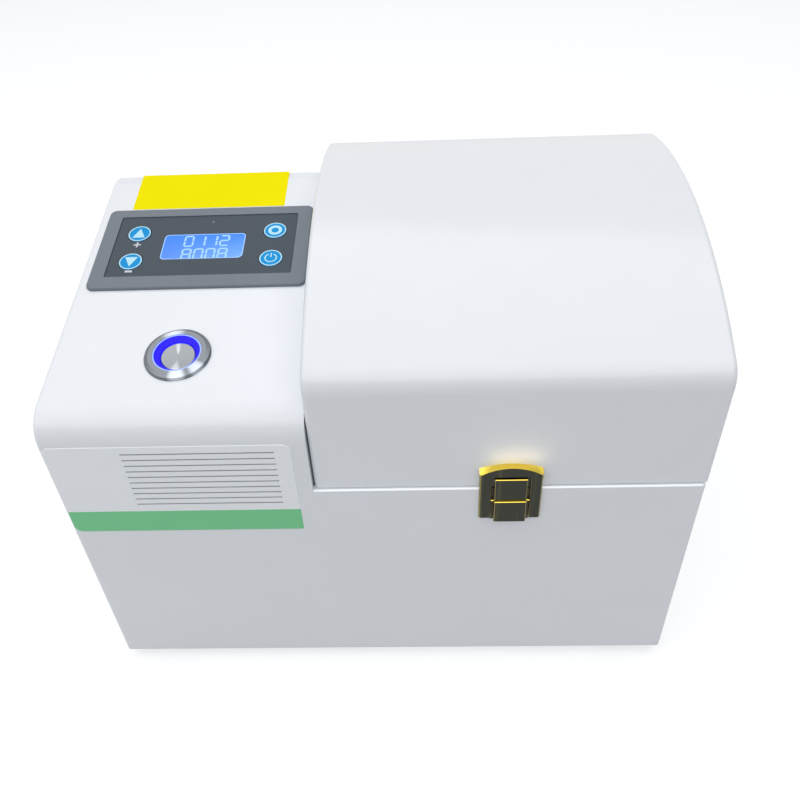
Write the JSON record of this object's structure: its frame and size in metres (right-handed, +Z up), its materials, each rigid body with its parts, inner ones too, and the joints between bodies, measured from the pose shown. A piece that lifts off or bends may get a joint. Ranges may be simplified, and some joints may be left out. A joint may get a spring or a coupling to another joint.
{
  "type": "bead mill homogenizer",
  "caption": "Bench bead mill: white housing with a sloping control panel, hinged arched lid with a latch, and a wobbling tube carrier under it on a rubber-hung motor.",
  "frame": {"origin": "on the bench, under the middle of the machine's outer box", "axes": "+X to the right as the user faces it, +Y to the back, +Z up"},
  "size_m": [0.241, 0.1597, 0.186],
  "materials": {
    "white_shell": "glossy white moulding",
    "zinc_steel": "zinc plated",
    "stainless": "satin stainless",
    "black_steel": "black oxide",
    "black_rubber": "matt",
    "gold": "polished gold plating",
    "grey_bezel": "fine matt grey",
    "slate_overlay": "printed dark slate film",
    "clear_window": "clear blue window",
    "blue_display": "backlit blue",
    "blue_key": "printed blue key",
    "green_board": "circuit board",
    "black_plastic": "black moulding",
    "button_steel": "turned stainless",
    "blue_light": "lit blue ring",
    "aluminium": "machined, clear anodised",
    "motor_black": "black paint",
    "knob_black": "black fluted knob"
  },
  "bodies": {
    "housing": {"housing": "white_shell", "base_plate": "zinc_steel", "bottom_screws": "zinc_steel", "feet": "black_rubber", "chamber_tray": "stainless", "tray_screws": "stainless", "lid_bumpers": "black_rubber", "hinge_base_leaves": "stainless", "hinge_pins": "stainless", "latch_strike": "gold", "control_bezel": "grey_bezel", "control_overlay": "slate_overlay", "display_lens": "clear_window", "display_module": "blue_display", "tact_switches": "black_plastic", "control_board": "green_board", "control_case": "black_plastic", "start_button_body": "button_steel", "start_button_ring": "blue_light", "start_button_nut": "button_steel", "start_button_switch": "black_plastic", "mains_inlet": "black_plastic", "inlet_pins": "gold", "power_supply": "aluminium", "motor_driver": "green_board", "lid_sensor": "black_plastic", "mount_posts": "zinc_steel", "rubber_mounts": "black_rubber"},
    "lid": {"lid": "white_shell", "hinge_lid_leaves": "stainless", "latch_hasp": "gold", "latch_pin": "gold", "lid_magnet": "zinc_steel"},
    "latch_lever": {"latch_lever": "gold"},
    "start_button": {"start_button_cap": "button_steel"},
    "drive": {"drive_plate": "aluminium", "motor_case": "motor_black", "motor_screws": "black_steel", "transit_sleeves": "zinc_steel", "guide_post": "stainless", "guide_sleeve": "black_rubber"},
    "rotor": {"motor_shaft": "stainless", "drive_hub": "stainless", "set_screw": "black_steel", "counterweight": "zinc_steel", "bearing_inner_rings": "stainless", "hub_nut": "zinc_steel"},
    "carrier": {"tube_carrier": "aluminium", "bearing_outer_rings": "stainless"},
    "baffle": {"baffle_plate": "stainless"},
    "key_up": {"key_up": "blue_key"},
    "key_down": {"key_down": "blue_key"},
    "key_mode": {"key_mode": "blue_key"},
    "key_power": {"key_power": "blue_key"},
    "fastening_screw_1": {"fastening_screw_1": "knob_black", "screw_washer_1": "stainless"},
    "fastening_screw_2": {"fastening_screw_2": "knob_black", "screw_washer_2": "stainless"},
    "fastening_screw_3": {"fastening_screw_3": "knob_black", "screw_washer_3": "stainless"}
  },
  "joints": [
    {"name": "lid_hinge", "type": "hinge", "parent": "housing", "child": "lid", "pos_m": [0, 0.07665, 0.10995], "axis": [-1, 0, 0], "range_deg": [0, 95]},
    {"name": "latch_press", "type": "hinge", "parent": "lid", "child": "latch_lever", "pos_m": [0.0483, -0.0777, 0.1042], "axis": [-1, 0, 0], "range_deg": [0, 7], "stiffness_Nm_per_rad": 0.05, "springref_deg": -2.86},
    {"name": "start_press", "type": "slide", "parent": "housing", "child": "start_button", "axis": [0, 0.1848, -0.9828], "range_m": [0, 0.002], "stiffness_N_per_m": 1500, "springref_m": -0.001},
    {"name": "drive_float", "type": "slide", "parent": "housing", "child": "drive", "axis": [0, 0, 1], "range_m": [-0.0015, 0.0015], "stiffness_N_per_m": 40000, "springref_m": 0.0006, "deforming": ["rubber_mounts"]},
    {"name": "rotor_spin", "type": "hinge", "parent": "drive", "child": "rotor", "pos_m": [0.04603, -0.00185, 0.1], "axis": [0, 0, 1], "continuous": true},
    {"name": "carrier_wobble", "type": "hinge", "parent": "rotor", "child": "carrier", "pos_m": [0.04603, -0.00185, 0.142], "axis": [0.1045, 0, 0.9945], "continuous": true},
    {"name": "baffle_turn", "type": "hinge", "parent": "carrier", "child": "baffle", "pos_m": [0.04603, -0.00185, 0.142], "axis": [0.1045, 0, 0.9945], "range_deg": [0, 22.5]},
    {"name": "key_up_press", "type": "slide", "parent": "housing", "child": "key_up", "axis": [0, 0.1848, -0.9828], "range_m": [0, 0.0003], "stiffness_N_per_m": 2000, "springref_m": -0.0005},
    {"name": "key_down_press", "type": "slide", "parent": "housing", "child": "key_down", "axis": [0, 0.1848, -0.9828], "range_m": [0, 0.0003], "stiffness_N_per_m": 2000, "springref_m": -0.0005},
    {"name": "key_mode_press", "type": "slide", "parent": "housing", "child": "key_mode", "axis": [0, 0.1848, -0.9828], "range_m": [0, 0.0003], "stiffness_N_per_m": 2000, "springref_m": -0.0005},
    {"name": "key_power_press", "type": "slide", "parent": "housing", "child": "key_power", "axis": [0, 0.1848, -0.9828], "range_m": [0, 0.0003], "stiffness_N_per_m": 2000, "springref_m": -0.0005},
    {"name": "screw_1_turn", "type": "hinge", "parent": "carrier", "child": "fastening_screw_1", "pos_m": [0.04759, 0.01865, 0.15692], "axis": [0.1045, 0, 0.9945], "range_deg": [0, 900]},
    {"name": "screw_2_turn", "type": "hinge", "parent": "carrier", "child": "fastening_screw_2", "pos_m": [0.02994, -0.0121, 0.15877], "axis": [0.1045, 0, 0.9945], "range_deg": [0, 900]},
    {"name": "screw_3_turn", "type": "hinge", "parent": "carrier", "child": "fastening_screw_3", "pos_m": [0.06525, -0.0121, 0.15506], "axis": [0.1045, 0, 0.9945], "range_deg": [0, 900]}
  ],
  "couplings": [
    {"joint": "carrier_wobble", "follows": "rotor_spin", "ratio": -1}
  ]
}
